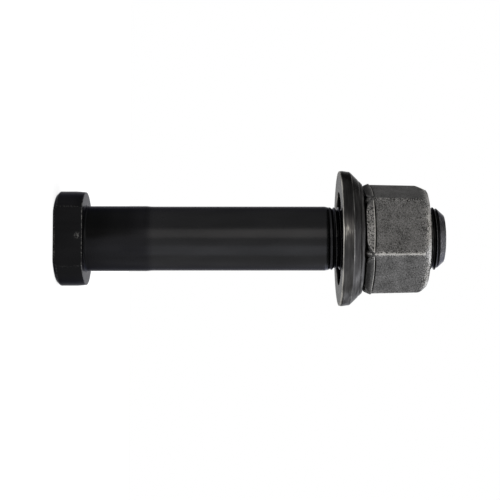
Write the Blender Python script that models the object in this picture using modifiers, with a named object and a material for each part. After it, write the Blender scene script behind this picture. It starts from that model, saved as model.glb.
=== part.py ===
"""Wheel stud with its flange nut and captive thrust washer.

The stud stands on its head, with +Z along its axis from the head to the tip and the origin at the
centre of the head's end face. The flat side of the head faces -Y. The nut has a right-hand thread,
so it leaves the stud along +Z as it turns counter-clockwise seen from the tip.
"""
import math

import bmesh
import bpy
from mathutils import Matrix, Vector

# Head: a round disc with one flat, which lies against a shoulder of the hub and stops it turning
HEAD_DIAMETER = 0.0331
HEAD_HEIGHT = 0.0100
HEAD_FLAT_TO_AXIS = 0.0129
HEAD_END_CHAMFER = 0.00115
HEAD_CHAMFER_ROUND = 0.0003
HEAD_TAPER_HEIGHT = 0.0030
HEAD_TAPER_DROP = 0.00025
HEAD_BEARING_ROUND = 0.0004

# Neck, the locating length under the head, and shank
NECK_DIAMETER = 0.0228
NECK_LENGTH = 0.0213
NECK_FILLET = 0.0008
NECK_SHOULDER = 0.0014
SHANK_DIAMETER = 0.0225
LENGTH_UNDER_HEAD = 0.1250

# Thread: metric fine, M22 x 1.5, drawn as its outside cylinder
THREAD_DIAMETER = 0.0220
THREAD_LENGTH = 0.0384
RUNOUT_LENGTH = 0.0006
RUNOUT_DEPTH = 0.00015
SHANK_END_TAPER = 0.0030
TIP_DIAMETER = 0.0162
TIP_CHAMFER_LENGTH = 0.0029

# Washer: a thick forged ring with a slightly barrelled rim, a cone and a recess in its face
WASHER_DIAMETER = 0.0475
WASHER_HEIGHT = 0.0079
WASHER_RIM_HEIGHT = 0.0036
WASHER_RIM_EASE = 0.0004
WASHER_EASE_HEIGHT = 0.0008
WASHER_RIM_TAPER = 0.0005
WASHER_TOP_DIAMETER = 0.0382
WASHER_FACE_ROUND = 0.0004
WASHER_EDGE_ROUND = 0.0008
WASHER_RECESS_DEPTH = 0.0029

# Nut: a tapered hexagon on a narrow flange, whose rim is trimmed by six flats of its own
NUT_ACROSS_FLATS = 0.0341
NUT_DRAFT = math.radians(1.0)
NUT_HEIGHT = 0.0221
NUT_CORNER_ROUND = 0.0004
NUT_END_FACE_DIAMETER = 0.0334
NUT_END_ROUND = 0.0006
NUT_END_CHAMFER = math.radians(42.0)
FLANGE_DIAMETER = 0.0399
FLANGE_ACROSS_FLATS = 0.0352
FLANGE_BASE_DIAMETER = 0.0368
FLANGE_RIM_START = 0.0024
FLANGE_RIM_HEIGHT = 0.0002
FLANGE_BACK_SLOPE = math.radians(9.0)
MOUTH_COUNTERSINK = 0.0009

# Collar: the tube under the flange, which passes through the washer and is crimped out in its recess
COLLAR_WALL = 0.0016
LIP_OVERHANG = 0.0015
LIP_HEIGHT = 0.0013
LIP_SLOPE = 0.0004
LIP_EDGE_ROUND = 0.0003
LIP_FLARE = 0.0010

# Running and seating clearances
THREAD_CLEARANCE = 0.0003
WASHER_BORE_PLAY = 0.0005
SEAT_GAP = 0.0004
LIP_GAP = 0.0003
RECESS_PLAY = 0.0020

# Places along the axis
TIP_PROJECTION = 0.0062
NUT_CORNER_ANGLE = math.radians(-10.5)

# Facets of the round surfaces and of each rounded corner
SEGMENTS = 72
ARC_STEPS = 3

MERGE_DISTANCE = 0.00001
CUT_MARGIN = 0.0050
SHARP_ANGLE = math.radians(25.0)

STUD_TOP = HEAD_HEIGHT + LENGTH_UNDER_HEAD
NUT_SEAT = STUD_TOP - TIP_PROJECTION - NUT_HEIGHT
WASHER_TOP = NUT_SEAT - SEAT_GAP
BORE_RADIUS = THREAD_DIAMETER / 2 + THREAD_CLEARANCE
COLLAR_RADIUS = BORE_RADIUS + COLLAR_WALL
LIP_RADIUS = COLLAR_RADIUS + LIP_OVERHANG
WASHER_BORE_RADIUS = COLLAR_RADIUS + WASHER_BORE_PLAY
RECESS_RADIUS = LIP_RADIUS + RECESS_PLAY


def clear_scene():
    """Removes every object, so the model is built in an empty scene."""
    for obj in list(bpy.data.objects):
        bpy.data.objects.remove(obj)


def new_collection(name):
    """Adds a collection to the scene."""
    collection = bpy.data.collections.new(name)
    bpy.context.scene.collection.children.link(collection)
    return collection


def new_object(name, mesh, collection):
    """Puts a mesh in a collection as an object."""
    obj = bpy.data.objects.new(name, mesh)
    collection.objects.link(obj)
    return obj


def metal(name, colour, metallic, roughness):
    """A plain metal finish."""
    material = bpy.data.materials.new(name)
    material.use_nodes = True
    shader = material.node_tree.nodes["Principled BSDF"]
    shader.inputs["Base Color"].default_value = (*colour, 1.0)
    shader.inputs["Metallic"].default_value = metallic
    shader.inputs["Roughness"].default_value = roughness
    material.diffuse_color = (*colour, 1.0)
    return material


def rounded(corners):
    """Turns corners (radius, height, round) into points, with an arc for each round."""
    points = []
    for index, (radius, height, size) in enumerate(corners):
        corner = Vector((radius, height))
        if size == 0.0:
            points.append(corner)
            continue
        before = Vector(corners[index - 1][:2]) - corner
        after = Vector(corners[(index + 1) % len(corners)][:2]) - corner
        half_angle = before.angle(after) / 2
        reach = min(size / math.tan(half_angle), before.length / 2, after.length / 2)
        size = reach * math.tan(half_angle)
        inward = (before.normalized() + after.normalized()).normalized()
        centre = corner + inward * math.hypot(reach, size)
        start = corner + before.normalized() * reach - centre
        turn = start.angle_signed(corner + after.normalized() * reach - centre)
        for step in range(ARC_STEPS + 1):
            angle = math.atan2(start.y, start.x) - turn * step / ARC_STEPS
            points.append(centre + size * Vector((math.cos(angle), math.sin(angle))))
    return points


def turned(name, corners, collection, ring=False):
    """Turns an outline about Z. A ring's outline is closed, and a solid's ends on the axis."""
    points = rounded(corners)
    edges = [(i, i + 1) for i in range(len(points) - 1)]
    if ring:
        edges.append((len(points) - 1, 0))
    mesh = bpy.data.meshes.new(name)
    mesh.from_pydata([(p.x, 0.0, p.y) for p in points], edges, [])
    obj = new_object(name, mesh, collection)
    screw = obj.modifiers.new("turn", "SCREW")
    screw.axis = "Z"
    screw.angle = math.tau
    screw.steps = SEGMENTS
    screw.render_steps = SEGMENTS
    screw.use_merge_vertices = True
    screw.merge_threshold = MERGE_DISTANCE
    return obj


def hexagon(name, low, high, low_flats, high_flats, corner_round, collection):
    """A six-sided prism or taper between two heights, with a corner on the local X axis."""
    bm = bmesh.new()
    place = Matrix.Translation((0, 0, (low + high) / 2)) @ Matrix.Rotation(math.pi / 6, 4, "Z")
    bmesh.ops.create_cone(
        bm,
        cap_ends=True,
        segments=6,
        radius1=low_flats / 2 / math.cos(math.pi / 6),
        radius2=high_flats / 2 / math.cos(math.pi / 6),
        depth=high - low,
        matrix=place,
    )
    if corner_round > 0.0:
        middle = (low + high) / 2
        upright = [e for e in bm.edges if (e.verts[0].co.z - middle) * (e.verts[1].co.z - middle) < 0]
        bmesh.ops.bevel(bm, geom=upright, offset=corner_round, segments=2, profile=0.5, affect="EDGES")
    mesh = bpy.data.meshes.new(name)
    bm.to_mesh(mesh)
    bm.free()
    return new_object(name, mesh, collection)


def block(name, low, high, collection):
    """A box between two corners."""
    bm = bmesh.new()
    bmesh.ops.create_cube(bm, size=1.0)
    bmesh.ops.scale(bm, vec=Vector(high) - Vector(low), verts=bm.verts)
    bmesh.ops.translate(bm, vec=(Vector(high) + Vector(low)) / 2, verts=bm.verts)
    mesh = bpy.data.meshes.new(name)
    bm.to_mesh(mesh)
    bm.free()
    return new_object(name, mesh, collection)


def combine(obj, tool, operation):
    """Joins, cuts or trims an object with a tool, which stays in the file as a guide."""
    boolean = obj.modifiers.new(operation.lower(), "BOOLEAN")
    boolean.operation = operation
    boolean.solver = "EXACT"
    boolean.object = tool
    tool.display_type = "WIRE"
    tool.hide_render = True


def finish(obj, material):
    """Settles the modifiers into the mesh, shades the round faces smooth and adds the finish."""
    graph = bpy.context.evaluated_depsgraph_get()
    mesh = bpy.data.meshes.new_from_object(obj.evaluated_get(graph))
    bm = bmesh.new()
    bm.from_mesh(mesh)
    bmesh.ops.dissolve_degenerate(bm, edges=bm.edges, dist=MERGE_DISTANCE)
    bm.to_mesh(mesh)
    bm.free()
    obj.modifiers.clear()
    obj.data = mesh
    mesh.name = obj.name
    mesh.materials.clear()
    mesh.materials.append(material)
    mesh.shade_smooth()
    mesh.set_sharp_from_angle(angle=SHARP_ANGLE)


def make_stud(parts, tools):
    """The forged and turned stud: D-shaped head, neck, shank, thread cylinder and chamfered tip."""
    head = HEAD_DIAMETER / 2
    neck = NECK_DIAMETER / 2
    shank = SHANK_DIAMETER / 2
    thread = THREAD_DIAMETER / 2
    thread_start = STUD_TOP - THREAD_LENGTH
    runout_start = thread_start - RUNOUT_LENGTH
    neck_end = HEAD_HEIGHT + NECK_LENGTH
    taper_start = HEAD_HEIGHT - HEAD_TAPER_HEIGHT
    stud = turned(
        "stud",
        [
            (0.0, STUD_TOP, 0.0),
            (TIP_DIAMETER / 2, STUD_TOP, 0.0),
            (thread, STUD_TOP - TIP_CHAMFER_LENGTH, 0.0),
            (thread, thread_start, 0.0),
            (thread - RUNOUT_DEPTH, thread_start - RUNOUT_DEPTH, 0.0),
            (thread - RUNOUT_DEPTH, runout_start, 0.0),
            (shank, runout_start - SHANK_END_TAPER, 0.0),
            (shank, neck_end + NECK_SHOULDER, 0.0),
            (neck, neck_end, 0.0),
            (neck, HEAD_HEIGHT, NECK_FILLET),
            (head - HEAD_TAPER_DROP, HEAD_HEIGHT, HEAD_BEARING_ROUND),
            (head, taper_start, 0.0),
            (head, HEAD_END_CHAMFER, HEAD_CHAMFER_ROUND),
            (head - HEAD_END_CHAMFER, 0.0, 0.0),
            (0.0, 0.0, 0.0),
        ],
        parts,
    )
    beyond = HEAD_DIAMETER / 2 + CUT_MARGIN
    flat = block(
        "flat_cutter",
        (-beyond, -beyond, -CUT_MARGIN),
        (beyond, -HEAD_FLAT_TO_AXIS, HEAD_HEIGHT + NECK_FILLET),
        tools,
    )
    combine(stud, flat, "DIFFERENCE")
    return stud


def make_washer(parts):
    """The captive washer: its recess hides the collar's lip, and its cone meets the nut's flange."""
    face = WASHER_TOP - WASHER_HEIGHT
    rim = WASHER_DIAMETER / 2
    washer = turned(
        "captive_washer",
        [
            (WASHER_BORE_RADIUS, WASHER_TOP, 0.0),
            (WASHER_TOP_DIAMETER / 2, WASHER_TOP, WASHER_EDGE_ROUND / 2),
            (rim - WASHER_RIM_TAPER, face + WASHER_RIM_HEIGHT, WASHER_EDGE_ROUND),
            (rim, face + WASHER_EASE_HEIGHT, WASHER_FACE_ROUND),
            (rim - WASHER_RIM_EASE, face, WASHER_FACE_ROUND / 2),
            (RECESS_RADIUS, face, 0.0),
            (RECESS_RADIUS, face + WASHER_RECESS_DEPTH, WASHER_EDGE_ROUND),
            (WASHER_BORE_RADIUS, face + WASHER_RECESS_DEPTH, 0.0),
        ],
        parts,
        ring=True,
    )
    return washer


def make_nut(parts, tools):
    """The flange nut: tapered hexagon, trimmed flange, crimped collar and countersunk bore.

    Its origin is on the axis at the seat, where its flange faces the washer.
    """
    middle = NUT_HEIGHT / 2
    end_flats = NUT_ACROSS_FLATS - 2 * middle * math.tan(NUT_DRAFT)
    root = FLANGE_RIM_START
    root_flats = NUT_ACROSS_FLATS + 2 * (middle - root) * math.tan(NUT_DRAFT)
    nut = hexagon("nut", root, NUT_HEIGHT, root_flats, end_flats, NUT_CORNER_ROUND, parts)

    # The end chamfer: a rounded cone that trims the corners down to a round end face
    outside = NUT_ACROSS_FLATS + CUT_MARGIN
    end_face = NUT_END_FACE_DIAMETER / 2
    drop = (outside - end_face) / math.tan(NUT_END_CHAMFER)
    chamfer = turned(
        "end_chamfer_envelope",
        [
            (0.0, NUT_HEIGHT, 0.0),
            (end_face, NUT_HEIGHT, NUT_END_ROUND),
            (outside, NUT_HEIGHT - drop, 0.0),
            (outside, -drop - CUT_MARGIN, 0.0),
            (0.0, -drop - CUT_MARGIN, 0.0),
        ],
        tools,
    )
    combine(nut, chamfer, "INTERSECT")

    # The flange and collar are one turned form, and six flats trim the flange's rim
    rim = FLANGE_DIAMETER / 2
    rim_top = FLANGE_RIM_START + FLANGE_RIM_HEIGHT
    core = end_flats / 2 - NUT_CORNER_ROUND
    back_top = rim_top + (rim - core) * math.tan(FLANGE_BACK_SLOPE)
    lip_top = WASHER_RECESS_DEPTH - WASHER_HEIGHT - SEAT_GAP - LIP_GAP
    lip_end = lip_top - LIP_HEIGHT
    flange = turned(
        "flange_form",
        [
            (0.0, back_top, 0.0),
            (core, back_top, 0.0),
            (rim, rim_top, 0.0),
            (rim, FLANGE_RIM_START, 0.0),
            (FLANGE_BASE_DIAMETER / 2, 0.0, 0.0),
            (COLLAR_RADIUS, 0.0, 0.0),
            (COLLAR_RADIUS, lip_top, 0.0),
            (LIP_RADIUS, lip_top - LIP_SLOPE, LIP_EDGE_ROUND),
            (LIP_RADIUS, lip_end, LIP_EDGE_ROUND),
            (0.0, lip_end, 0.0),
        ],
        tools,
    )
    trim = hexagon(
        "flange_trim",
        lip_end - CUT_MARGIN,
        back_top + CUT_MARGIN,
        FLANGE_ACROSS_FLATS,
        FLANGE_ACROSS_FLATS,
        0.0,
        tools,
    )
    combine(flange, trim, "INTERSECT")
    combine(nut, flange, "UNION")

    # The bore clears the stud's thread and opens in a countersink and in the crimped lip
    bore = turned(
        "bore_cutter",
        [
            (0.0, NUT_HEIGHT + CUT_MARGIN, 0.0),
            (BORE_RADIUS + MOUTH_COUNTERSINK + CUT_MARGIN, NUT_HEIGHT + CUT_MARGIN, 0.0),
            (BORE_RADIUS, NUT_HEIGHT - MOUTH_COUNTERSINK, 0.0),
            (BORE_RADIUS, lip_end + LIP_FLARE, 0.0),
            (BORE_RADIUS + LIP_FLARE + CUT_MARGIN, lip_end - CUT_MARGIN, 0.0),
            (0.0, lip_end - CUT_MARGIN, 0.0),
        ],
        tools,
    )
    combine(nut, bore, "DIFFERENCE")
    return nut


def build():
    """Models the three pieces and puts each in its place on the axis."""
    clear_scene()
    parts = new_collection("wheel_stud")
    tools = new_collection("cutters")
    black = metal("black phosphated steel", (0.030, 0.030, 0.033), 0.7, 0.42)
    gunmetal = metal("oiled forged steel", (0.070, 0.070, 0.074), 0.8, 0.40)
    grey = metal("blasted steel", (0.180, 0.178, 0.172), 0.8, 0.50)

    stud = make_stud(parts, tools)
    finish(stud, black)

    washer = make_washer(parts)
    finish(washer, gunmetal)

    nut = make_nut(parts, tools)
    finish(nut, grey)
    nut.location.z = NUT_SEAT
    nut.rotation_euler.z = NUT_CORNER_ANGLE


build()
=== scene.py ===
"""Wheel stud, dressed: the stud with its thread, the captive thrust washer and the flange nut.

Every piece is wrapped round the stud's axis, Z, and takes the place of its CAD node. The origin is
the middle of the head's end face. Sizes are in millimetres and become metres where a mesh or a node
needs them. Angles round the axis start at the +X side, and the camera stands at -86 degrees.
"""

import math

import bmesh
import bpy
import numpy as np
from mathutils import Matrix, Vector


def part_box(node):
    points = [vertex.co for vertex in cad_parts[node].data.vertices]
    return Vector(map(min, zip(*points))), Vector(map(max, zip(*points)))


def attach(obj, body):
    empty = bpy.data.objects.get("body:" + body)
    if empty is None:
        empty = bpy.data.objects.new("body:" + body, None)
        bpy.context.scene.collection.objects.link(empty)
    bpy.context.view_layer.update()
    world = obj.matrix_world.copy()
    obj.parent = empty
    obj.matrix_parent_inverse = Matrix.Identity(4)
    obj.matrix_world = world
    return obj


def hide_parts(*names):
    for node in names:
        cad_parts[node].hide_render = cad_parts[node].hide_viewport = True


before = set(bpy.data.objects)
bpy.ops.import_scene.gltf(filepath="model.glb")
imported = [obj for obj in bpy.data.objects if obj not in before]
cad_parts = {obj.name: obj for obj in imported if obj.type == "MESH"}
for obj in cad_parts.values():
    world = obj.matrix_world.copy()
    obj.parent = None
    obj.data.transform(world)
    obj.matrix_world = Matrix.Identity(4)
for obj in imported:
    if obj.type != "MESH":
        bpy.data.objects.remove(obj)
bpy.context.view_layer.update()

MM = 0.001
WELD = 0.0005 * MM
SHARP_EDGE = math.radians(30.0)


def heights(node):
    """The lowest and highest places of a CAD node along the axis, in millimetres."""
    low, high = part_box(node)
    return low.z / MM, high.z / MM


TIP_END = heights("stud")[1]
WASHER_FACE, WASHER_TOP = heights("captive_washer")
LIP_END, NUT_END = heights("nut")

# Stud
STUD_SIDES = 168
HEAD_RADIUS = 16.55
HEAD_HEIGHT = 10.0
HEAD_FLAT = 12.9
FLAT_FACING = 1.5 * math.pi
HEAD_CHAMFER = 1.15
HEAD_TAPER_START = 7.0
HEAD_TAPER_DROP = 0.25
HEAD_BEARING_ROUND = 0.2
HEAD_EDGE_ROUND = 0.2
FLAT_CORNER_ROUND = 0.3
FLAT_REACHED = 0.1
OUT_OF_REACH = 1000.0
NECK_RADIUS = 11.4
NECK_END = 31.3
NECK_SHOULDER = 1.4
NECK_FILLET = 0.8
SHANK_RADIUS = 11.25
SHANK_END = 93.2
TIP_RADIUS = 8.35
TIP_CHAMFER = 2.9
TIP_FACE_RINGS = (7.9, 6.0, 3.0, 0.0)

# Thread, M22 x 1.5, right-hand. One crest crosses the +X side of the stud at CREST_HEIGHT, and the
# rows of points lie at these heights above a crest.
PITCH = 1.5
CREST_RADIUS = 11.0
THREAD_DEPTH = 0.92
THREAD_ROOT_ROUND = 0.25
CREST_HALF_FLAT = PITCH / 16
CREST_RUBBED = 0.16
FLANK = math.tan(math.radians(30.0))
CREST_HEIGHT = 130.46
THREAD_START = 94.0
THREAD_FULL = 97.8
THREAD_RELIEF = 1.8
STUD_THREAD_ROWS = (0.0, 0.06, 0.13, 0.34, 0.56, 0.66, 0.84, 0.94, 1.16, 1.37, 1.44)
NUT_THREAD_ROWS = (0.0, 0.14, 0.36, 0.6, 0.9, 1.14, 1.36)
NUT_THREAD_CLEARANCE = 0.08
NUT_CREST_RADIUS = 10.22
NUT_MOUTH_RADIUS = 11.3
NUT_MOUTH_DEPTH = 1.2

# Washer
WASHER_SIDES = 240
WASHER_RADIUS = 23.73
WASHER_BORE = 13.4
WASHER_RECESS = 16.4
RECESS_DEPTH = 2.9
RECESS_ROUND = 0.6
WASHER_TOP_FLAT = 18.2
WASHER_TOP_EDGE = 19.1
WASHER_TOP_ROUND = 0.35
WASHER_CORNER_ROUND = 0.22
CONE_START_RADIUS = 21.2
CONE_START_HEIGHT = 5.9
CONE_FOOT_RADIUS = 22.97
CONE_FOOT_HEIGHT = 4.1
CONE_EDGE_ROUND = 0.65
BARREL_HIGH = 2.9
BARREL_LOW = 1.3
BARREL_ROUND = 0.42
# A light step and a turned groove near the top of the cone, the groove painted dark as painted shade:
# radius, depth below the top, wear
TURNED_GROOVE = (
    (19.75, 0.5, 0.12),
    (20.05, 0.8, 0.0),
    (20.15, 1.05, -0.25),
    (20.35, 1.35, -0.45),
    (20.7, 1.5, -0.1),
)

# Nut
NUT_HEIGHT = 22.1
NUT_SEAT = NUT_END - NUT_HEIGHT
NUT_CORNER_ANGLE = -10.5
NUT_FACE_BORE = 12.3
FLAT_TO_AXIS = 17.05
FLAT_MIDDLE = 11.05
DRAFT = math.tan(math.radians(1.0))
HEXAGON_CORNER_ROUND = 0.7
END_FACE_RADIUS = 17.25
END_FACE_ROUND = 0.8
END_SLOPE = math.tan(math.radians(42.0))
END_CONE_LOW = 17.4
END_CONE_ROUND = 0.9
FLANGE_RADIUS = 19.95
FLANGE_BASE = 18.4
FLANGE_FOOT = 17.95
FLANGE_FLAT = 17.6
FLANGE_RIM = 2.4
FLANGE_BACK = 2.6
FLANGE_TOP = 6.0
BACK_SLOPE = math.tan(math.radians(9.0))
# Rows down the side of the nut, closest where the flange begins: high, low and steps
NUT_SIDE_ROWS = ((16.9, 5.2, 10), (5.0, 3.3, 10), (3.27, 2.3, 40), (2.2, 0.0, 20))
SEAT_RINGS = (17.2, 15.0, 12.95)
COLLAR_RADIUS = 12.9
LIP_HEIGHT = 1.3
LIP_RADIUS = 14.1
LIP_ROUND = 0.3

# Marks of use, and painted light and shade. Wear is above 0 where a coat is rubbed off and 1 at bare
# steel, and the same values also paint highlights; below 0 a place is darker, painted shade where
# marked so. A side is an angle round the axis, and a fade is the two cosines from it where a mark ends
# and where it is full.
BEARING_EDGE_WEAR = 0.4
BEARING_FACE_WEAR = 0.3
FLAT_CORNER_WEAR = 0.2
FLAT_FOOT_WEAR = 0.45
FLAT_FOOT_HEIGHT = 0.5
CHIP_WEAR = 0.5
CHIP_ANGLE = math.radians(268.0)
CHIP_SPREAD = 0.09
CHIP_HEIGHT = 8.3
CHIP_LENGTH = 0.9
# Round the fillet from the bearing face to the neck: rubbed at the face, and painted shade in the crease
# where below 0
NECK_FILLET_WEAR_AND_SHADE = (0.5, 0.1, -0.7, -0.9, -0.7, -0.4, -0.2)
# The neck is painted darker beside the head: painted shade from the head's bearing face
NECK_SHADE_BESIDE_HEAD = -0.25
NECK_SHADE_BESIDE_HEAD_END = 23.0
# One side of the neck is painted darker: painted shade
NECK_SIDE_SHADE = -0.4
NECK_SHADED_SIDE = math.radians(-122.0)
NECK_SIDE_SHADE_FADE = (0.74, 0.92)
NECK_SIDE_SHADE_THINS = 24.0
CREST_WEAR = 0.5
# The thread's grooves are darker
GROOVE_DARKENING = -0.35
TIP_WEAR = 0.25
# One side of the washer and of its cone is painted darker: painted shade
WASHER_SHADED_SIDE = math.radians(-166.7)
WASHER_SIDE_SHADE = -0.5
WASHER_SIDE_SHADE_FADE = (-0.5, -0.03)
CONE_SIDE_SHADE = -0.47
CONE_SIDE_SHADE_FADE = (-0.68, -0.3)
# A band of the rim towards the camera is painted lighter: a scuff, and a painted sheen
SCUFF_AND_SHEEN_ANGLE = math.radians(-91.5)
SCUFF_AND_SHEEN_SPREAD = math.radians(10.6)
SCUFF_AND_SHEEN_WEAR = 0.34
# The rim's corner with the bearing face is rubbed and painted bright: wear and a painted glint
RIM_CORNER_WEAR_AND_GLINT = 0.6
# The washer's top, in the gap under the nut, is painted dark: painted shade
WASHER_TOP_SHADE = -0.8
# The recess and the washer's bore are darkened
RECESS_DARKENING = -1.0
HEXAGON_CORNER_WEAR = 0.38
# One corner of the hexagon, on the lit side, is painted lighter: wear and a painted highlight
CORNER_WEAR_AND_GLINT_MORE = 0.4
WORN_AND_GLINTING_CORNER_SIDE = math.radians(-70.5)
WORN_AND_GLINTING_CORNER_FADE = (0.8, 0.95)
# A band round the nut's end is rubbed and painted lighter: wear and a painted highlight
NUT_END_WEAR_AND_SHEEN = 0.58
# The flange facet towards the camera is painted lighter and the others darker: painted highlight and
# painted shade
LIT_FACET_SIDE = math.radians(-95.0)
LIT_FACET_FADE = (0.78, 0.95)
FACET_EDGE_WEAR = 1.1
# The nut's seat, over the gap above the washer, is painted dark: painted shade
SEAT_SHADE = -0.8
# The collar and the bore are darkened
COLLAR_DARKENING = -0.6
BORE_DARKENING = -0.5


def smooth_min(a, b, blend):
    """The lesser of two distances, with the edge where they meet rounded."""
    near = np.clip(1.0 - np.abs(a - b) / blend, 0.0, 1.0)
    return np.minimum(a, b) - near * near * blend / 4


def smooth_max(a, b, blend):
    """The greater of two distances, with the corner where they meet filled."""
    return -smooth_min(-a, -b, blend)


def meeting(a, b, width):
    """1 where two faces meet, falling to 0 where they are a width apart."""
    return np.clip(1.0 - np.abs(a - b) / width, 0.0, 1.0) ** 2


def ease(value, low, high):
    """0 below low, 1 above high and smooth between."""
    share = np.clip((value - low) / (high - low), 0.0, 1.0)
    return share * share * (3.0 - 2.0 * share)


def facing(angles, side, fade):
    """1 on the side of a piece that faces an angle, eased to 0 between the two cosines of its fade."""
    return ease(np.cos(angles - side), *fade)


def arc(centre_r, centre_z, size, start, end, steps):
    """Points on an arc of a profile, from one angle to another in degrees."""
    turns = np.radians(np.linspace(start, end, steps + 1))
    return [(centre_r + size * math.cos(a), centre_z + size * math.sin(a)) for a in turns]


def line(start, end, steps):
    """Points from one place of a profile to another, both ends included."""
    return [tuple(p) for p in np.linspace(start, end, steps + 1)]


def marked_by(wear_and_painted_light, places):
    """Profile rows at these places, all with the same value of rubbing, darkening and painted light."""
    return [(radius, height, wear_and_painted_light) for radius, height in places]


def around(count):
    """Even angles for a whole turn, both ends included."""
    return np.linspace(0.0, math.tau, count + 1)


def wrap(name, rows, angles):
    """Makes a closed piece from rows of points round the axis.

    A row gives its radius, its height and its value of rubbing, darkening and painted light, each one
    value or one for every angle. The first and last angle are a turn apart, and what falls together
    there, on the axis or at the end of a helix is welded.
    """
    full = np.ones_like(angles)
    radius = np.array([row[0] * full for row in rows]) * MM
    height = np.array([row[1] * full for row in rows]) * MM
    wear_and_painted_light = np.array([row[2] * full for row in rows])
    count, columns = radius.shape
    places = np.stack([radius * np.cos(angles), radius * np.sin(angles), height], axis=2)
    first = np.arange(count - 1)[:, None] * columns + np.arange(columns - 1)[None, :]
    faces = np.stack([first, first + 1, first + 1 + columns, first + columns], axis=2)
    mesh = bpy.data.meshes.new(name)
    mesh.from_pydata(places.reshape(-1, 3).tolist(), [], faces.reshape(-1, 4).tolist())
    attribute = mesh.attributes.new("wear_and_painted_light", "FLOAT", "POINT")
    attribute.data.foreach_set("value", wear_and_painted_light.astype(np.float32).ravel())
    bm = bmesh.new()
    bm.from_mesh(mesh)
    bmesh.ops.remove_doubles(bm, verts=bm.verts, dist=WELD)
    bmesh.ops.dissolve_degenerate(bm, edges=bm.edges, dist=WELD)
    bmesh.ops.recalc_face_normals(bm, faces=bm.faces)
    bm.to_mesh(mesh)
    bm.free()
    mesh.shade_smooth()
    mesh.set_sharp_from_angle(angle=SHARP_EDGE)
    piece = bpy.data.objects.new(name, mesh)
    bpy.context.scene.collection.objects.link(piece)
    return piece


def thread_groove(angles, height, depth):
    """How far the thread lies below its crests, and how near each place is to a crest."""
    lead = (height - CREST_HEIGHT) / PITCH - angles / math.tau
    from_crest = np.abs(lead - np.round(lead)) * PITCH
    rise = np.maximum(from_crest - CREST_HALF_FLAT, 0.0) / FLANK
    groove = smooth_min(rise, THREAD_DEPTH, THREAD_ROOT_ROUND) * depth
    return groove, np.clip(1.0 - from_crest / CREST_RUBBED, 0.0, 1.0)


def helix_rows(low, high, above_crest, angles):
    """Heights of rows that follow the thread from one height to another, clamped to both."""
    turns = int((high - low) / PITCH) + 3
    start = CREST_HEIGHT - PITCH * (int((CREST_HEIGHT - low) / PITCH) + 2)
    rows = []
    for turn in range(turns + 1):
        for offset in above_crest:
            height = start + turn * PITCH + offset + PITCH * angles / math.tau
            rows.append(np.clip(height, low, high))
    return rows


def stud_angles():
    """Angles round the stud, closer together where the head's flat meets its round side."""
    half_flat = math.acos(HEAD_FLAT / HEAD_RADIUS)
    beside = np.linspace(-0.05, 0.05, 13)
    near_corners = [FLAT_FACING - half_flat + beside, FLAT_FACING + half_flat + beside]
    return np.unique(np.round(np.concatenate([around(STUD_SIDES), *near_corners]), 6))


def head_profile():
    """The head as if it were all round, from the middle of its end face to the foot of the neck."""
    side, top, bend = HEAD_RADIUS, HEAD_HEIGHT, HEAD_BEARING_ROUND
    foot = side - HEAD_CHAMFER
    shoulder = side - HEAD_TAPER_DROP
    profile = marked_by(0.0, line((0.0, 0.0), (foot - 0.3, 0.0), 6))
    # The chamfer, rubbed at both of its edges
    profile += [(foot - 0.06, 0.01, 0.3), (foot + 0.08, 0.09, 0.45)]
    profile += marked_by(0.0, line((foot + 0.25, 0.25), (side - 0.2, HEAD_CHAMFER - 0.2), 4))
    profile += [(side - 0.06, HEAD_CHAMFER - 0.02, 0.3), (side, HEAD_CHAMFER + 0.2, 0.2)]
    # The side, with its slight taper towards the bearing face
    profile += marked_by(0.0, line((side, HEAD_CHAMFER + 0.5), (side, HEAD_TAPER_START), 8))
    profile += marked_by(0.0, line((side - 0.1, 8.2), (shoulder, top - bend - 0.15), 4))
    profile += marked_by(BEARING_EDGE_WEAR, arc(shoulder - bend, top - bend, bend, 0, 90, 5))
    inner = NECK_RADIUS + NECK_FILLET
    bearing_face = line((shoulder - bend - 0.3, top), (inner + 0.4, top), 7)
    profile += marked_by(BEARING_FACE_WEAR, bearing_face)
    # The fillet is rubbed at the bearing face and painted dark in its crease, a painted shade
    fillet = arc(inner, top + NECK_FILLET, NECK_FILLET, 270, 180, len(NECK_FILLET_WEAR_AND_SHADE) - 1)
    return profile + [(*place, wear_and_painted_light) for place, wear_and_painted_light in zip(fillet, NECK_FILLET_WEAR_AND_SHADE)]


def cut_flat(row, angles):
    """A row of the head with the flat cut into it, rubbed along its corners and chipped."""
    radius, height, wear_and_painted_light = row
    from_end = max(min(height, HEAD_HEIGHT - height, HEAD_EDGE_ROUND), 0.0)
    eased = HEAD_EDGE_ROUND - math.sqrt(HEAD_EDGE_ROUND**2 - (HEAD_EDGE_ROUND - from_end) ** 2)
    # The flat's distance from the axis in each direction that can reach it
    to_flat = np.cos(angles - FLAT_FACING)
    reached = (HEAD_FLAT - eased) / np.maximum(to_flat, FLAT_REACHED)
    flat = np.where(to_flat > FLAT_REACHED, reached, OUT_OF_REACH)
    if height < HEAD_TAPER_START:
        foot_wear = FLAT_FOOT_WEAR * meeting(height, FLAT_FOOT_HEIGHT, 0.4)
        wear_and_painted_light = np.where(flat < radius - FLAT_CORNER_ROUND, foot_wear, wear_and_painted_light)
    corner_marks = FLAT_CORNER_WEAR * meeting(radius, flat, 0.5)
    along_chip = (height - CHIP_HEIGHT) / CHIP_LENGTH
    across_chip = (angles - CHIP_ANGLE) / CHIP_SPREAD
    chip_wear = CHIP_WEAR * np.exp(-(along_chip**2) - across_chip**2)
    wear_and_painted_light = np.maximum(wear_and_painted_light, np.maximum(corner_marks, chip_wear))
    return smooth_min(radius, flat, FLAT_CORNER_ROUND), height, wear_and_painted_light


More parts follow.
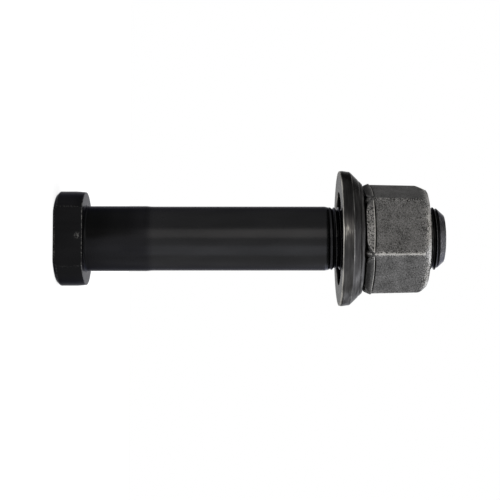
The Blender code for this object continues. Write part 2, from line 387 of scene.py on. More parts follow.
def neck_and_shank(angles):
    """The neck with one side painted darker, a painted shade, the shoulder after it and the plain shank.
    """
    neck_start = HEAD_HEIGHT + NECK_FILLET + 0.5
    # Painted shade on one side of the neck
    side_shade = NECK_SIDE_SHADE * facing(angles, NECK_SHADED_SIDE, NECK_SIDE_SHADE_FADE)
    rows = []
    for radius, height in line((NECK_RADIUS, neck_start), (NECK_RADIUS, NECK_END - 0.3), 16):
        # Painted shade beside the head, and the painted shade on one side, thinning along the neck
        shade_beside_head = NECK_SHADE_BESIDE_HEAD * (1 - ease(height, neck_start, NECK_SHADE_BESIDE_HEAD_END))
        thinned = side_shade * (1 - 0.5 * ease(height, NECK_SIDE_SHADE_THINS, NECK_END))
        rows.append((radius, height, shade_beside_head + thinned))
    start = NECK_END + NECK_SHOULDER
    rows += [(NECK_RADIUS - 0.01, NECK_END, 0.45 * side_shade), (SHANK_RADIUS + 0.01, start, 0.2 * side_shade)]
    return rows + marked_by(0.0, line((SHANK_RADIUS, start + 0.4), (SHANK_RADIUS, SHANK_END - 0.3), 24))


def stud_thread(angles):
    """The thread, from where it runs out on the shank to the tip and its chamfer."""
    rows = []
    for height in helix_rows(SHANK_END, TIP_END, STUD_THREAD_ROWS, angles):
        relief = ease(height, SHANK_END, SHANK_END + THREAD_RELIEF)
        outside = SHANK_RADIUS - (SHANK_RADIUS - CREST_RADIUS) * relief
        depth = ease(height, THREAD_START, THREAD_FULL)
        groove, crest = thread_groove(angles, height, depth)
        cone = TIP_RADIUS + (TIP_END - height) * (CREST_RADIUS - TIP_RADIUS) / TIP_CHAMFER
        # Crests rubbed and grooves darker
        thread_marks = (CREST_WEAR * crest + GROOVE_DARKENING * (1 - crest)) * depth
        wear_and_painted_light = np.where(outside - groove < cone, thread_marks, TIP_WEAR)
        rows.append((np.minimum(outside - groove, cone), height, wear_and_painted_light))
    return rows


def make_stud():
    """The stud: D-shaped head, neck, shank and a full helical thread with a chamfered tip."""
    angles = stud_angles()
    inside_flat = NECK_RADIUS + 1.0
    rows = [row if row[0] < inside_flat else cut_flat(row, angles) for row in head_profile()]
    rows += neck_and_shank(angles) + stud_thread(angles)
    rows += marked_by(0.0, [(radius, TIP_END) for radius in TIP_FACE_RINGS])
    return wrap("wheel_stud_body", rows, angles)


def washer_outside(scuff_and_sheen, side_shade, cone_side_shade):
    """The washer from its bore's top edge over the cone and rim to the edge of the recess."""
    face, top, rim = WASHER_FACE, WASHER_TOP, WASHER_RADIUS
    # The top and its edge, painted dark in the gap under the nut: painted shade
    rows = marked_by(WASHER_TOP_SHADE, line((WASHER_BORE, top), (WASHER_TOP_FLAT, top), 4))
    top_edge = arc(WASHER_TOP_EDGE, top - WASHER_TOP_ROUND, WASHER_TOP_ROUND, 80, 45, 3)
    rows += marked_by(WASHER_TOP_SHADE - 0.1, top_edge)
    rows += [(radius, top - depth, wear_and_painted_light) for radius, depth, wear_and_painted_light in TURNED_GROOVE]
    cone_start = (CONE_START_RADIUS, face + CONE_START_HEIGHT)
    cone_foot = (CONE_FOOT_RADIUS, face + CONE_FOOT_HEIGHT)
    # The cone, painted darker on one side: painted shade
    rows += marked_by(cone_side_shade, line(cone_start, cone_foot, 8))
    # The rounded edge between cone and rim, rubbed on its cone side, and lighter still in the scuff with
    # its painted sheen
    edge = arc(22.76, face + 3.35, CONE_EDGE_ROUND, 47, 8, 6)
    edge_wear_and_sheen = 0.22 + 0.15 * scuff_and_sheen
    rows += marked_by(edge_wear_and_sheen, edge[:2]) + marked_by(0.4 * edge_wear_and_sheen, edge[2:3])
    rows += marked_by(side_shade * (1 - scuff_and_sheen), edge[3:])
    # The slightly barrelled rim, and its corner with the bearing face: painted shade on one side, and a
    # scuff with painted sheen towards the camera
    rim_side = line((rim - 0.26, face + BARREL_HIGH), (rim - 0.02, face + BARREL_LOW), 6)
    rim_side += arc(rim - BARREL_ROUND, face + 0.9, BARREL_ROUND, 8, -12, 3)
    rows += marked_by(SCUFF_AND_SHEEN_WEAR * scuff_and_sheen + side_shade * (1 - scuff_and_sheen), rim_side)
    rows += [(rim - 0.04, face + 0.6, side_shade * (1 - scuff_and_sheen)), (rim - 0.08, face + 0.35, 0.35 + 0.35 * scuff_and_sheen)]
    # The corner is rubbed and painted bright, a painted glint, brightest in the scuff with its painted
    # sheen
    corner = arc(rim - 0.33, face + WASHER_CORNER_ROUND, WASHER_CORNER_ROUND, -10, -85, 4)
    rows += marked_by(RIM_CORNER_WEAR_AND_GLINT + (1 - RIM_CORNER_WEAR_AND_GLINT) * scuff_and_sheen, corner)
    rows += [(rim - 0.5, face, 0.5), (rim - 1.0, face, 0.1)]
    # The bearing face, with a little painted shade on one side
    rows += marked_by(0.4 * side_shade, line((rim - 1.6, face), (WASHER_RECESS + 0.3, face), 8))
    return rows + [(WASHER_RECESS + 0.06, face + 0.03, 0.6), (WASHER_RECESS, face + 0.2, 0.2)]


def washer_inside():
    """The round recess in the bearing face and the bore up to the top edge, all darkened."""
    wall, floor = WASHER_RECESS, WASHER_FACE + RECESS_DEPTH
    rows = line((wall, WASHER_FACE + 0.6, -0.6), (wall, floor - RECESS_ROUND, RECESS_DARKENING), 4)
    corner = arc(wall - RECESS_ROUND, floor - RECESS_ROUND, RECESS_ROUND, 0, 90, 4)
    bore = line((WASHER_BORE, floor + 0.5), (WASHER_BORE, WASHER_TOP), 6)
    return rows + marked_by(RECESS_DARKENING, corner + line((15.4, floor), (WASHER_BORE, floor), 3) + bore)


def make_washer():
    """The captive washer: turned rim, cone and face, with the recess that hides the nut's lip."""
    angles = around(WASHER_SIDES)
    # The scuff with its painted sheen, a band on the camera's side
    from_scuff_and_sheen = (angles - SCUFF_AND_SHEEN_ANGLE + math.pi) % math.tau - math.pi
    scuff_and_sheen = np.exp(-((from_scuff_and_sheen / SCUFF_AND_SHEEN_SPREAD) ** 2))
    # One side is painted darker, a painted shade, and the scuffed place with its painted sheen and the
    # far side are not darkened
    side_shade = WASHER_SIDE_SHADE * facing(angles, WASHER_SHADED_SIDE, WASHER_SIDE_SHADE_FADE)
    cone_side_shade = CONE_SIDE_SHADE * facing(angles, WASHER_SHADED_SIDE, CONE_SIDE_SHADE_FADE)
    rows = washer_outside(scuff_and_sheen, side_shade, cone_side_shade) + washer_inside()
    return wrap("captive_thrust_washer", rows, angles)


def nut_angles():
    """Angles round the nut, closer at its corners, and each one's angle from its side's middle."""
    sector = np.linspace(-1.0, 1.0, 55)
    within = 30.0 * (0.4 * sector + 0.6 * np.sin(sector * math.pi / 2))
    centres = [NUT_CORNER_ANGLE + 30.0 + 60.0 * side for side in range(6)]
    angles = np.radians(np.unique(np.round(np.concatenate([c + within for c in centres]), 5)))
    across = np.radians(np.append(np.tile(within[:-1], 6), within[0]))
    return angles, across


def nut_envelope():
    """The turned shape that the hexagon is cut from: radius and height, from the end face down."""
    end = NUT_HEIGHT
    profile = line((NUT_FACE_BORE, end), (END_FACE_RADIUS - 0.8, end), 4)
    profile += arc(END_FACE_RADIUS - 0.55, end - END_FACE_ROUND, END_FACE_ROUND, 88, 48, 8)
    cone_start = profile[-1]
    beyond = cone_start[0] + (cone_start[1] - END_CONE_LOW) * END_SLOPE
    profile += line(cone_start, (beyond, END_CONE_LOW), 34)[1:]
    # Below the cone the hexagon and the flange lie inside this radius, and only the heights count
    for high, low, steps in NUT_SIDE_ROWS:
        profile += line((beyond, high), (beyond, low), steps)
    return profile


def hexagon(envelope, height, angles, across):
    """The hexagon at one height: its body's radius, its sides' radius without the cone, its rubbing and
    painted light.
    """
    flats = FLAT_TO_AXIS + (FLAT_MIDDLE - height) * DRAFT
    this_side = flats / np.cos(across)
    next_side = flats / np.cos(math.radians(60.0) - np.abs(across))
    sides = smooth_min(this_side, next_side, HEXAGON_CORNER_ROUND)
    # One corner is lighter than the others: more wear on it, and a painted highlight
    worn_and_glinting = HEXAGON_CORNER_WEAR + CORNER_WEAR_AND_GLINT_MORE * facing(angles, WORN_AND_GLINTING_CORNER_SIDE, WORN_AND_GLINTING_CORNER_FADE)
    corner_marks = meeting(this_side, next_side, 1.9) * (envelope > sides - 0.3) * worn_and_glinting
    # The band round the end: wear and a painted highlight
    end_wear_and_sheen = NUT_END_WEAR_AND_SHEEN * meeting(height, NUT_HEIGHT - 0.6, 3.6) * (envelope > 15.8)
    end_round = END_CONE_ROUND if height < NUT_HEIGHT - 0.1 else 0.01
    return smooth_min(sides, envelope, end_round), sides, np.maximum(corner_marks, end_wear_and_sheen)


def add_flange(body, sides, wear_and_painted_light, height, angles, across):
    """Adds the flange at one height: a double cone that six flats trim into lens facets."""
    under = FLANGE_BASE + height * (FLANGE_RADIUS - FLANGE_BASE) / FLANGE_RIM
    under = min(under, FLANGE_FOOT + 1.6 * height)
    over = FLANGE_RADIUS - (height - FLANGE_BACK) / BACK_SLOPE
    cone = max(min(under, FLANGE_RADIUS, over), 14.0)
    trim = FLANGE_FLAT / np.cos(across) - 1.6 * max(0.15 - height, 0.0)
    flange = smooth_min(trim, cone, 0.15)
    body = smooth_min(body, under, 0.2)

    # The facet that faces the camera is painted lighter, a painted highlight, and the others are painted
    # darker beside the washer, a painted shade
    lit_facet = facing(angles, LIT_FACET_SIDE, LIT_FACET_FADE)
    facet = 0.6 * meeting(trim, min(under, 30.0), 0.3) * (0.3 + 0.7 * lit_facet)
    facet = facet + 0.3 * lit_facet - 0.65 * (1 - lit_facet) * (1 - ease(height, 1.0, 3.4))
    # The flange's foot, beside the gap over the washer, is painted dark: painted shade
    facet = facet - 1.5 * (1 - ease(height, 0.0, 0.25))
    # A facet's upper edge is rubbed bright where it meets the cone over it
    upper_edge = FLANGE_BACK + (FLANGE_RADIUS - trim) * BACK_SLOPE
    at_edge = np.clip(1.0 - (upper_edge - height) / 0.3, 0.0, 1.0) * (trim < FLANGE_RADIUS - 0.15)
    facet = facet + FACET_EDGE_WEAR * at_edge

    # The corner where the flange meets the hexagon's sides is painted dark: painted shade
    root = FLANGE_BACK + (FLANGE_RADIUS - sides) * BACK_SLOPE
    corner_shade = 1.6 * np.clip(1.0 - (height - root) / 0.55, 0.0, 1.0)
    corner_shade = corner_shade + 0.4 * np.clip(1.0 - (height - root) / 1.8, 0.0, 1.0)
    corner_shade = corner_shade * np.clip((19.7 - sides) / 1.2, 0.0, 1.0)
    on_facet = trim < cone + 0.05
    # Off the facets the flange's cones are painted a little darker, a painted shade
    wear_and_painted_light = np.where(flange > body, np.where(on_facet, facet, -0.12), wear_and_painted_light - corner_shade)
    return smooth_max(body, flange, 0.1), wear_and_painted_light


def nut_outside(angles, across):
    """The nut's end face, rounded cone, hexagon and flange, down to its seat."""
    rows = []
    for envelope, height in nut_envelope():
        body, sides, wear_and_painted_light = hexagon(envelope, height, angles, across)
        if height < FLANGE_TOP:
            body, wear_and_painted_light = add_flange(body, sides, wear_and_painted_light, height, angles, across)
        rows.append((body, NUT_SEAT + height, wear_and_painted_light))
    return rows


def nut_collar():
    """The seat, and the collar below it that is crimped out into a lip inside the washer's recess."""
    lip_top = LIP_END + LIP_HEIGHT
    places = line((COLLAR_RADIUS, NUT_SEAT - 0.1), (COLLAR_RADIUS, lip_top), 6)
    places += line((13.2, lip_top - 0.08), (LIP_RADIUS, lip_top - 0.4), 3)
    places += arc(LIP_RADIUS, lip_top - 0.7, LIP_ROUND, 60, 0, 3)
    places += arc(LIP_RADIUS, LIP_END + LIP_ROUND, LIP_ROUND, 0, -90, 4)
    places += line((13.4, LIP_END), (12.4, LIP_END), 2)
    places += line((12.2, LIP_END + 0.06), (NUT_MOUTH_RADIUS, LIP_END + 1.0), 4)
    # The seat is painted dark, a painted shade in the gap over the washer, and the collar is darkened
    seat = [(radius, NUT_SEAT) for radius in SEAT_RINGS]
    return marked_by(SEAT_SHADE, seat) + marked_by(COLLAR_DARKENING, places)


def nut_bore(angles):
    """The threaded bore from the lip to the end face, opened to a countersink at both ends."""
    low, high = LIP_END + 1.0, NUT_END - 0.9
    rows = []
    for height in helix_rows(low, high, NUT_THREAD_ROWS, angles):
        low_mouth = ease(low + NUT_MOUTH_DEPTH - height, 0.0, NUT_MOUTH_DEPTH)
        mouth = np.maximum(low_mouth, ease(height, high - NUT_MOUTH_DEPTH, high))
        groove = thread_groove(angles, height, 1.0)[0]
        turned = np.maximum(CREST_RADIUS + NUT_THREAD_CLEARANCE - groove, NUT_CREST_RADIUS)
        # The bore is darkened all along
        rows.append((turned * (1 - mouth) + NUT_MOUTH_RADIUS * mouth, height, BORE_DARKENING))
    return rows + marked_by(0.2, line((11.4, NUT_END - 0.8), (12.2, NUT_END), 4))


def make_nut():
    """The flange nut: rounded hexagon, lens facets on its flange, crimped collar, threaded bore."""
    angles, across = nut_angles()
    outside = nut_outside(angles, across)
    rows = outside + nut_collar() + nut_bore(angles) + outside[:1]
    return wrap("flange_nut", rows, angles)


def to_linear(colour):
    """A colour written as an sRGB hex value, as the linear colour that a shader takes."""
    parts = [int(colour[i : i + 2], 16) / 255 for i in (1, 3, 5)]
    return [c / 12.92 if c <= 0.04045 else ((c + 0.055) / 1.055) ** 2.4 for c in parts] + [1.0]


def add_node(tree, kind, settings=None, links=None):
    """Adds a shader node with its settings, and its inputs set to values or linked to outputs."""
    node = tree.nodes.new(kind)
    for key, value in (settings or {}).items():
        setattr(node, key, value)
    for socket, value in (links or {}).items():
        if isinstance(value, bpy.types.NodeSocket):
            tree.links.new(value, node.inputs[socket])
        else:
            node.inputs[socket].default_value = value
    return node


def new_material(name):
    """An empty material with its surface output."""
    material = bpy.data.materials.new(name)
    material.use_nodes = True
    tree = material.node_tree
    tree.nodes.clear()
    return material, tree, tree.nodes.new("ShaderNodeOutputMaterial")


def rub_soil_and_shade(tree, coat, wear_and_painted_light, high_spots, bare_and_highlight, soil_and_shade, full_soil_and_shade):
    """The coat with its marks shown: the steel colour on high spots first, where rubbing and painted
    highlight lie above 0, and the darkening colour where the value is below 0, which is painted shade
    in most places.

    High spots run from 0 to 1. They show as specks from a value of 0.3, and all shows the steel at 1.
    """
    # Rubbing and painted highlights take the steel colour on high spots, and darkening and painted shade
    # take the dark colour
    rubbed = add_node(
        tree, "ShaderNodeMath", {"operation": "MULTIPLY_ADD"}, {0: wear_and_painted_light, 1: 2.0, 2: high_spots}
    ).outputs[0]
    rubbed = add_node(
        tree, "ShaderNodeMapRange", None, {"Value": rubbed, "From Min": 1.0, "From Max": 2.0}
    ).outputs[0]
    soiled_and_shaded = add_node(
        tree,
        "ShaderNodeMapRange",
        {"interpolation_type": "SMOOTHSTEP"},
        {"Value": wear_and_painted_light, "From Min": 0.0, "From Max": full_soil_and_shade},
    ).outputs[0]
    coat = add_node(
        tree, "ShaderNodeMix", {"data_type": "RGBA"}, {0: rubbed, 6: coat, 7: to_linear(bare_and_highlight)}
    ).outputs[2]
    return add_node(
        tree, "ShaderNodeMix", {"data_type": "RGBA"}, {0: soiled_and_shaded, 6: coat, 7: to_linear(soil_and_shade)}
    ).outputs[2]


def lay_on_steel(tree, output, coat, roughness, tint, relief):
    """Lays a thin coat on steel, with its colour at grazing angles and its marks' fine relief.

    The relief is its strength, its depth in millimetres and the output that gives its height.
    """
    strength, depth, height = relief
    bump = add_node(
        tree, "ShaderNodeBump", None, {"Strength": strength, "Distance": depth * MM, "Height": height}
    ).outputs[0]
    steel = add_node(
        tree,
        "ShaderNodeBsdfPrincipled",
        None,
        {
            "Base Color": coat,
            "Metallic": 0.95,
            "Roughness": roughness,
            "Specular Tint": to_linear(tint),
            "Normal": bump,
        },
    )
    tree.links.new(steel.outputs[0], output.inputs["Surface"])


def phosphate_shades(tree, place, film):
    """The coat's colour by its place: deepest on the head, deep on the neck, paler on the shank."""
    along = add_node(tree, "ShaderNodeSeparateXYZ", None, {0: place}).outputs["Z"]
    head, neck, shank = [
        add_node(
            tree,
            "ShaderNodeMix",
            {"data_type": "RGBA"},
            {0: film, 6: to_linear(dark), 7: to_linear(pale)},
        ).outputs[2]
        for dark, pale in (("#111112", "#1f1f20"), ("#18181a", "#2b2b2d"), ("#262627", "#353536"))
    ]
    above_head, above_neck = [
        add_node(
            tree,
            "ShaderNodeMapRange",
            {"interpolation_type": "SMOOTHSTEP"},
            {"Value": along, "From Min": low * MM, "From Max": high * MM},
        ).outputs[0]
        for low, high in ((HEAD_HEIGHT - 0.4, HEAD_HEIGHT - 0.05), (NECK_END, NECK_END + 3.0))
    ]
    below = add_node(
        tree, "ShaderNodeMix", {"data_type": "RGBA"}, {0: above_head, 6: head, 7: neck}
    ).outputs[2]
    coat = add_node(
        tree, "ShaderNodeMix", {"data_type": "RGBA"}, {0: above_neck, 6: below, 7: shank}
    ).outputs[2]
    return coat, above_neck


# Black manganese phosphate on turned steel, lightly oiled: nearly black, satin, with a fine even
# grain. The neck was left rougher than the shank and looks deeper, and the head is the deepest.
def black_phosphate():
    material, tree, output = new_material("black phosphate")
    place = add_node(tree, "ShaderNodeTexCoord").outputs["Object"]
    # Crystal grain is 0.05 mm on the real coat, drawn at 0.4 mm so that it shows
    grain = add_node(
        tree, "ShaderNodeTexNoise", None, {"Vector": place, "Scale": 1 / (0.4 * MM), "Detail": 2.0}
    ).outputs["Fac"]
    # Oil film and handling leave it uneven over some 5 mm, drawn out to 20 mm along the stud
    stretched = add_node(
        tree, "ShaderNodeVectorMath", {"operation": "MULTIPLY"}, {0: place, 1: (1.0, 1.0, 0.25)}
    ).outputs[0]
    film = add_node(
        tree, "ShaderNodeTexNoise", None, {"Vector": stretched, "Scale": 1 / (5 * MM), "Detail": 3.0}
    ).outputs["Fac"]
    # Turning marks run round the stud, 0.3 mm apart
    apart = (1 / (50 * MM), 1 / (50 * MM), 1 / (0.303 * MM))
    rings = add_node(
        tree, "ShaderNodeVectorMath", {"operation": "MULTIPLY"}, {0: place, 1: apart}
    ).outputs[0]
    turning = add_node(
        tree, "ShaderNodeTexNoise", None, {"Vector": rings, "Scale": 1.0, "Detail": 2.0}
    ).outputs["Fac"]

    coat, above_neck = phosphate_shades(tree, place, film)
    wear_and_painted_light = add_node(tree, "ShaderNodeAttribute", {"attribute_name": "wear_and_painted_light"}).outputs["Fac"]
    high_grains = add_node(
        tree, "ShaderNodeMapRange", None, {"Value": grain, "From Min": 0.35, "From Max": 0.65}
    ).outputs[0]
    # Steel colour at wear and painted highlights, near-black at the painted shade on the neck and at the
    # darker thread grooves
    coat = rub_soil_and_shade(tree, coat, wear_and_painted_light, high_grains, "#6f6e6c", "#0e0e0e", -0.6)

    grained = add_node(
        tree, "ShaderNodeMapRange", None, {"Value": grain, "To Min": 0.23, "To Max": 0.36}
    ).outputs[0]
    roughness = add_node(
        tree, "ShaderNodeMath", {"operation": "MULTIPLY_ADD"}, {0: above_neck, 1: -0.06, 2: grained}
    ).outputs[0]
    marks = add_node(tree, "ShaderNodeMath", {"operation": "ADD"}, {0: grain, 1: turning}).outputs[0]
    lay_on_steel(tree, output, coat, roughness, "#b7b7bb", (0.5, 0.012, marks))
    return material


# Forged steel, turned and oiled: a dark gunmetal with fine rings where the tool passed
def turned_gunmetal():
    material, tree, output = new_material("turned gunmetal")
    place = add_node(tree, "ShaderNodeTexCoord").outputs["Object"]
    parts = add_node(tree, "ShaderNodeSeparateXYZ", None, {0: place}).outputs
    flat = add_node(
        tree, "ShaderNodeVectorMath", {"operation": "MULTIPLY"}, {0: place, 1: (1.0, 1.0, 0.0)}
    ).outputs[0]
    radius = add_node(tree, "ShaderNodeVectorMath", {"operation": "LENGTH"}, {0: flat}).outputs["Value"]
    # The tool's path runs along the rim, down the cone and across the face
    path = add_node(
        tree, "ShaderNodeMath", {"operation": "MULTIPLY_ADD"}, {0: radius, 1: -0.7, 2: parts["Z"]}
    ).outputs[0]
    lay = add_node(
        tree, "ShaderNodeCombineXYZ", None, {"X": parts["X"], "Y": parts["Y"], "Z": path}
    ).outputs[0]
    # Rings of 0.35 mm, and broader bands of 1.6 mm that fade in and out round the washer
    ring_apart = (1 / (11.1 * MM), 1 / (11.1 * MM), 1 / (0.357 * MM))
    band_apart = (1 / (6.25 * MM), 1 / (6.25 * MM), 1 / (1.613 * MM))
    tool_marks = []
    for apart, detail in ((ring_apart, 3.0), (band_apart, 4.0)):
        drawn_out = add_node(
            tree, "ShaderNodeVectorMath", {"operation": "MULTIPLY"}, {0: lay, 1: apart}
        ).outputs[0]
        marks = add_node(
            tree, "ShaderNodeTexNoise", None, {"Vector": drawn_out, "Scale": 1.0, "Detail": detail}
        ).outputs["Fac"]
        tool_marks.append(marks)
    rings, bands = tool_marks
    both = add_node(
        tree, "ShaderNodeMath", {"operation": "MULTIPLY_ADD"}, {0: rings, 1: 0.6, 2: bands}
    ).outputs[0]
    tone = add_node(
        tree, "ShaderNodeMapRange", None, {"Value": both, "From Min": 0.5, "From Max": 1.1}
    ).outputs[0]
    steel = add_node(
        tree,
        "ShaderNodeMix",
        {"data_type": "RGBA"},
        {0: tone, 6: to_linear("#292828"), 7: to_linear("#5a5958")},
    ).outputs[2]

    wear_and_painted_light = add_node(tree, "ShaderNodeAttribute", {"attribute_name": "wear_and_painted_light"}).outputs["Fac"]
    high_rings = add_node(
        tree, "ShaderNodeMapRange", None, {"Value": both, "From Min": 0.62, "From Max": 0.98}
    ).outputs[0]
    # Steel colour at wear and at the painted sheen and glint, near-black at the painted shade and at the
    # darker recess
    steel = rub_soil_and_shade(tree, steel, wear_and_painted_light, high_rings, "#c8c5be", "#0b0b0b", -0.9)

    roughness = add_node(
        tree, "ShaderNodeMapRange", None, {"Value": rings, "To Min": 0.2, "To Max": 0.36}
    ).outputs[0]
    lay_on_steel(tree, output, steel, roughness, "#9e9e9e", (0.6, 0.02, both))
    return material


# Forged steel, bead-blasted and thinly phosphated: grey, rough and speckled, rubbed bright on edges
def blasted_grey():
    material, tree, output = new_material("blasted grey")
    place = add_node(tree, "ShaderNodeTexCoord").outputs["Object"]
    # Blasting pits are 0.15 mm on the real nut, drawn at 0.34 mm so that they show
    pits = add_node(
        tree,
        "ShaderNodeTexNoise",
        None,
        {"Vector": place, "Scale": 1 / (0.34 * MM), "Detail": 2.0, "Roughness": 0.7},
    ).outputs["Fac"]
    # The thin coat took unevenly, in patches of some 4 mm
    patches = add_node(
        tree, "ShaderNodeTexNoise", None, {"Vector": place, "Scale": 1 / (4 * MM), "Detail": 3.0}
    ).outputs["Fac"]
    mottle = add_node(
        tree, "ShaderNodeMath", {"operation": "MULTIPLY_ADD"}, {0: patches, 1: 0.24, 2: pits}
    ).outputs[0]
    # Worn places and places of painted highlight are hammered: brighter on their high spots and darker
    # between
    wear_and_painted_light = add_node(tree, "ShaderNodeAttribute", {"attribute_name": "wear_and_painted_light"}).outputs["Fac"]
    hammered = add_node(
        tree,
        "ShaderNodeMapRange",
        None,
        {"Value": wear_and_painted_light, "From Max": 0.4, "To Min": 1.2, "To Max": 3.2},
    ).outputs[0]
    level = add_node(
        tree,
        "ShaderNodeMapRange",
        {"clamp": False},
        {"Value": mottle, "From Min": 0.4, "From Max": 0.84, "To Min": -0.5, "To Max": 0.5},
    ).outputs[0]
    tone = add_node(
        tree, "ShaderNodeMath", {"operation": "MULTIPLY_ADD"}, {0: level, 1: hammered, 2: 0.5}
    ).outputs[0]
    steel = add_node(
        tree,
        "ShaderNodeMix",
        {"data_type": "RGBA"},
        {0: tone, 6: to_linear("#262625"), 7: to_linear("#828180")},
    ).outputs[2]

    # The high spots are the metal between the pits
    high_spots = add_node(
        tree, "ShaderNodeMapRange", None, {"Value": mottle, "From Min": 0.47, "From Max": 0.77}
    ).outputs[0]
    # Steel colour at wear and painted highlights, near-black at the painted shade round flange and seat
    # and at the darker collar and bore
    steel = rub_soil_and_shade(tree, steel, wear_and_painted_light, high_spots, "#c2c0bc", "#121211", -0.9)

    roughness = add_node(
        tree, "ShaderNodeMapRange", None, {"Value": pits, "To Min": 0.46, "To Max": 0.66}
    ).outputs[0]
    lay_on_steel(tree, output, steel, roughness, "#b4b4b4", (0.8, 0.09, pits))
    return material


# Studio. Brightness is a share of white, lamps are placed by angles seen from the camera, and sizes
# are in metres. The photograph is turned: its up is the stud's -X side and its right is +Z.
VIEW_SIDE = Vector((0.0576, -0.9983, 0.0))
VIEW_UP = Vector((-0.9983, -0.0576, 0.0))
VIEW_RIGHT = Vector((0.0, 0.0, 1.0))
CAMERA_PLACE = Vector((0.0288, -0.42964, 0.067346))
CAMERA_LENS = 88.2
SENSOR = 36.0
FLOOR_HALF = 0.25
FLOOR_GREY = "#8c8c8c"
FLOOR_GLOW = 0.8
FLOOR_MIRRORED_SHARE = 0.6
ROOM_LIGHT = 0.75
ROOM_ABOVE = 0.45
ROOM_BELOW = 0.8
SWEEP_REACH = 0.75
SWEEP_BELOW = math.radians(30.0)
SWEEP_MIDDLE = -VIEW_SIDE * math.cos(SWEEP_BELOW) - VIEW_UP * math.sin(SWEEP_BELOW)
LAMP_DISTANCE = 0.9

# Each lamp: degrees up and right of the camera, its two sides, brightness and colour
LAMPS = {
    "upper strip": (18, 12, 1.0, 0.5, 0.95, "#fffaf4"),
    "lower softbox": (-44, 0, 1.0, 0.56, 0.5, "#f0f4ff"),
    "lower rear softbox": (-135, 34, 0.9, 0.9, 1.7, "#eef3ff"),
    "right softbox": (-10, 55, 0.5, 0.5, 0.6, "#ffffff"),
    "end softbox": (-120, 72, 0.8, 0.8, 1.7, "#f4f6ff"),
}


def seen_directly_or_mirrored(tree):
    """Light path outputs: seen by the camera, and seen in a reflection or through glass."""
    path = add_node(tree, "ShaderNodeLightPath").outputs
    mirrored = add_node(
        tree,
        "ShaderNodeMath",
        {"operation": "MAXIMUM"},
        {0: path["Is Glossy Ray"], 1: path["Is Transmission Ray"]},
    )
    return path["Is Camera Ray"], mirrored.outputs[0]


def make_floor():
    """A pale board under the head: white to the camera, dimmer in reflections, with its shadow."""
    bm = bmesh.new()
    bmesh.ops.create_grid(bm, x_segments=1, y_segments=1, size=FLOOR_HALF)
    mesh = bpy.data.meshes.new("floor")
    bm.to_mesh(mesh)
    bm.free()
    floor = bpy.data.objects.new("floor", mesh)
    bpy.context.scene.collection.objects.link(floor)
    material, tree, output = new_material("white floor")
    camera, mirrored = seen_directly_or_mirrored(tree)
    faint = add_node(
        tree, "ShaderNodeMath", {"operation": "MULTIPLY"}, {0: mirrored, 1: FLOOR_MIRRORED_SHARE}
    ).outputs[0]
    seen = add_node(tree, "ShaderNodeMath", {"operation": "MAXIMUM"}, {0: camera, 1: faint}).outputs[0]
    glow = add_node(
        tree, "ShaderNodeMath", {"operation": "MULTIPLY"}, {0: seen, 1: FLOOR_GLOW}
    ).outputs[0]
    paint = add_node(tree, "ShaderNodeBsdfDiffuse", None, {"Color": to_linear(FLOOR_GREY)})
    light = add_node(tree, "ShaderNodeEmission", None, {"Strength": glow})
    both = add_node(tree, "ShaderNodeAddShader", None, {0: paint.outputs[0], 1: light.outputs[0]})
    tree.links.new(both.outputs[0], output.inputs["Surface"])
    mesh.materials.append(material)


def sweep_share(tree, direction):
    """How much of a mirrored direction falls on the white sweep, behind the stud and past its ends."""
    behind = add_node(
        tree, "ShaderNodeVectorMath", {"operation": "DOT_PRODUCT"}, {0: direction, 1: SWEEP_MIDDLE}
    ).outputs["Value"]
    endways = add_node(
        tree, "ShaderNodeVectorMath", {"operation": "DOT_PRODUCT"}, {0: direction, 1: VIEW_RIGHT}
    ).outputs["Value"]
    endways = add_node(tree, "ShaderNodeMath", {"operation": "ABSOLUTE"}, {0: endways}).outputs[0]
    round_back = add_node(
        tree, "ShaderNodeMath", {"operation": "MULTIPLY_ADD"}, {0: endways, 1: SWEEP_REACH, 2: behind}
    ).outputs[0]
    return add_node(
        tree,
        "ShaderNodeMapRange",
        {"interpolation_type": "SMOOTHSTEP"},
        {"Value": round_back, "From Min": 0.3, "From Max": 0.9},
    ).outputs[0]


def room_strength(tree, direction, mirrored):
    """The room's even light on the stud, and what the stud mirrors: dimmer above it than below."""
    above = add_node(
        tree, "ShaderNodeVectorMath", {"operation": "DOT_PRODUCT"}, {0: direction, 1: VIEW_UP}
    ).outputs["Value"]
    mirrored_room = add_node(
        tree,
        "ShaderNodeMapRange",
        {"interpolation_type": "SMOOTHSTEP"},
        {"Value": above, "From Min": -0.5, "From Max": 0.3, "To Min": ROOM_BELOW, "To Max": ROOM_ABOVE},
    ).outputs[0]
    return add_node(
        tree, "ShaderNodeMix", None, {"Factor": mirrored, "A": ROOM_LIGHT, "B": mirrored_room}
    ).outputs[0]


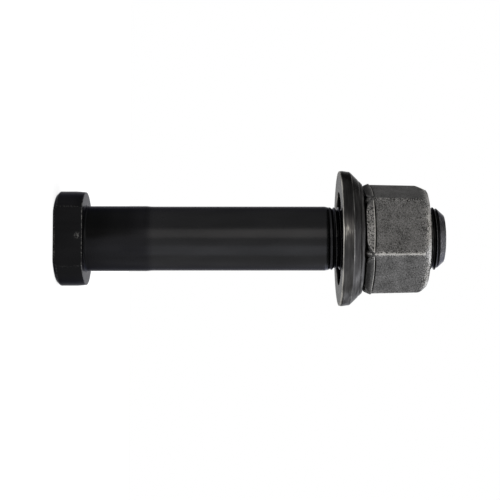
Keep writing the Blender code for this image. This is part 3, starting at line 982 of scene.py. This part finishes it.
def make_world():
    """The room round the stud, with a white sweep that the camera sees as a white background."""
    world = bpy.data.worlds.new("studio")
    bpy.context.scene.world = world
    world.use_nodes = True
    tree = world.node_tree
    tree.nodes.clear()
    output = tree.nodes.new("ShaderNodeOutputWorld")
    camera, mirrored = seen_directly_or_mirrored(tree)
    direction = add_node(tree, "ShaderNodeTexCoord").outputs["Generated"]
    sweep = sweep_share(tree, direction)
    mirrored_sweep = add_node(
        tree, "ShaderNodeMath", {"operation": "MULTIPLY"}, {0: mirrored, 1: sweep}
    ).outputs[0]
    white = add_node(
        tree, "ShaderNodeMath", {"operation": "MAXIMUM"}, {0: camera, 1: mirrored_sweep}
    ).outputs[0]
    paint = to_linear("#ffffff")
    strength = room_strength(tree, direction, mirrored)
    room = add_node(tree, "ShaderNodeBackground", None, {"Color": paint, "Strength": strength})
    backdrop = add_node(tree, "ShaderNodeBackground", None, {"Color": paint, "Strength": 1.0})
    mix = add_node(
        tree, "ShaderNodeMixShader", None, {0: white, 1: room.outputs[0], 2: backdrop.outputs[0]}
    )
    tree.links.new(mix.outputs[0], output.inputs["Surface"])


def make_camera():
    """The photograph's viewpoint: level with the axis and square to it, rolled a quarter turn."""
    data = bpy.data.cameras.new("camera")
    data.lens = CAMERA_LENS
    data.sensor_width = SENSOR
    camera = bpy.data.objects.new("camera", data)
    bpy.context.scene.collection.objects.link(camera)
    turn = Matrix((VIEW_RIGHT, VIEW_UP, VIEW_SIDE)).transposed()
    camera.matrix_world = Matrix.Translation(CAMERA_PLACE) @ turn.to_4x4()
    bpy.context.scene.camera = camera


def make_lamp(name, up, right, along, across, brightness, colour):
    """A soft lamp, by its degrees up and right of the camera, its size in metres and brightness."""
    toward = VIEW_SIDE * math.cos(math.radians(up)) + VIEW_UP * math.sin(math.radians(up))
    toward = toward * math.cos(math.radians(right)) + VIEW_RIGHT * math.sin(math.radians(right))
    side = (VIEW_RIGHT - toward * toward.dot(VIEW_RIGHT)).normalized()
    data = bpy.data.lights.new(name, "AREA")
    data.shape = "RECTANGLE"
    data.size = along
    data.size_y = across
    data.energy = brightness * math.pi * along * across
    data.color = to_linear(colour)[:3]
    lamp = bpy.data.objects.new(name, data)
    bpy.context.scene.collection.objects.link(lamp)
    turn = Matrix((side, toward.cross(side), toward)).transposed()
    middle = Vector((0.0, 0.0, CAMERA_PLACE.z))
    lamp.matrix_world = Matrix.Translation(middle + toward * LAMP_DISTANCE) @ turn.to_4x4()


for piece, body, node, finish, slot in (
    (make_stud(), "stud", "stud", black_phosphate(), "black phosphated steel"),
    (make_washer(), "washer", "captive_washer", turned_gunmetal(), "oiled forged steel"),
    (make_nut(), "nut", "nut", blasted_grey(), "blasted steel"),
):
    piece.data.materials.append(finish)
    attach(piece, body)
    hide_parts(node)

make_camera()
make_floor()
make_world()
for lamp_name, settings in LAMPS.items():
    make_lamp(lamp_name, *settings)

bpy.context.scene.view_settings.view_transform = "Standard"
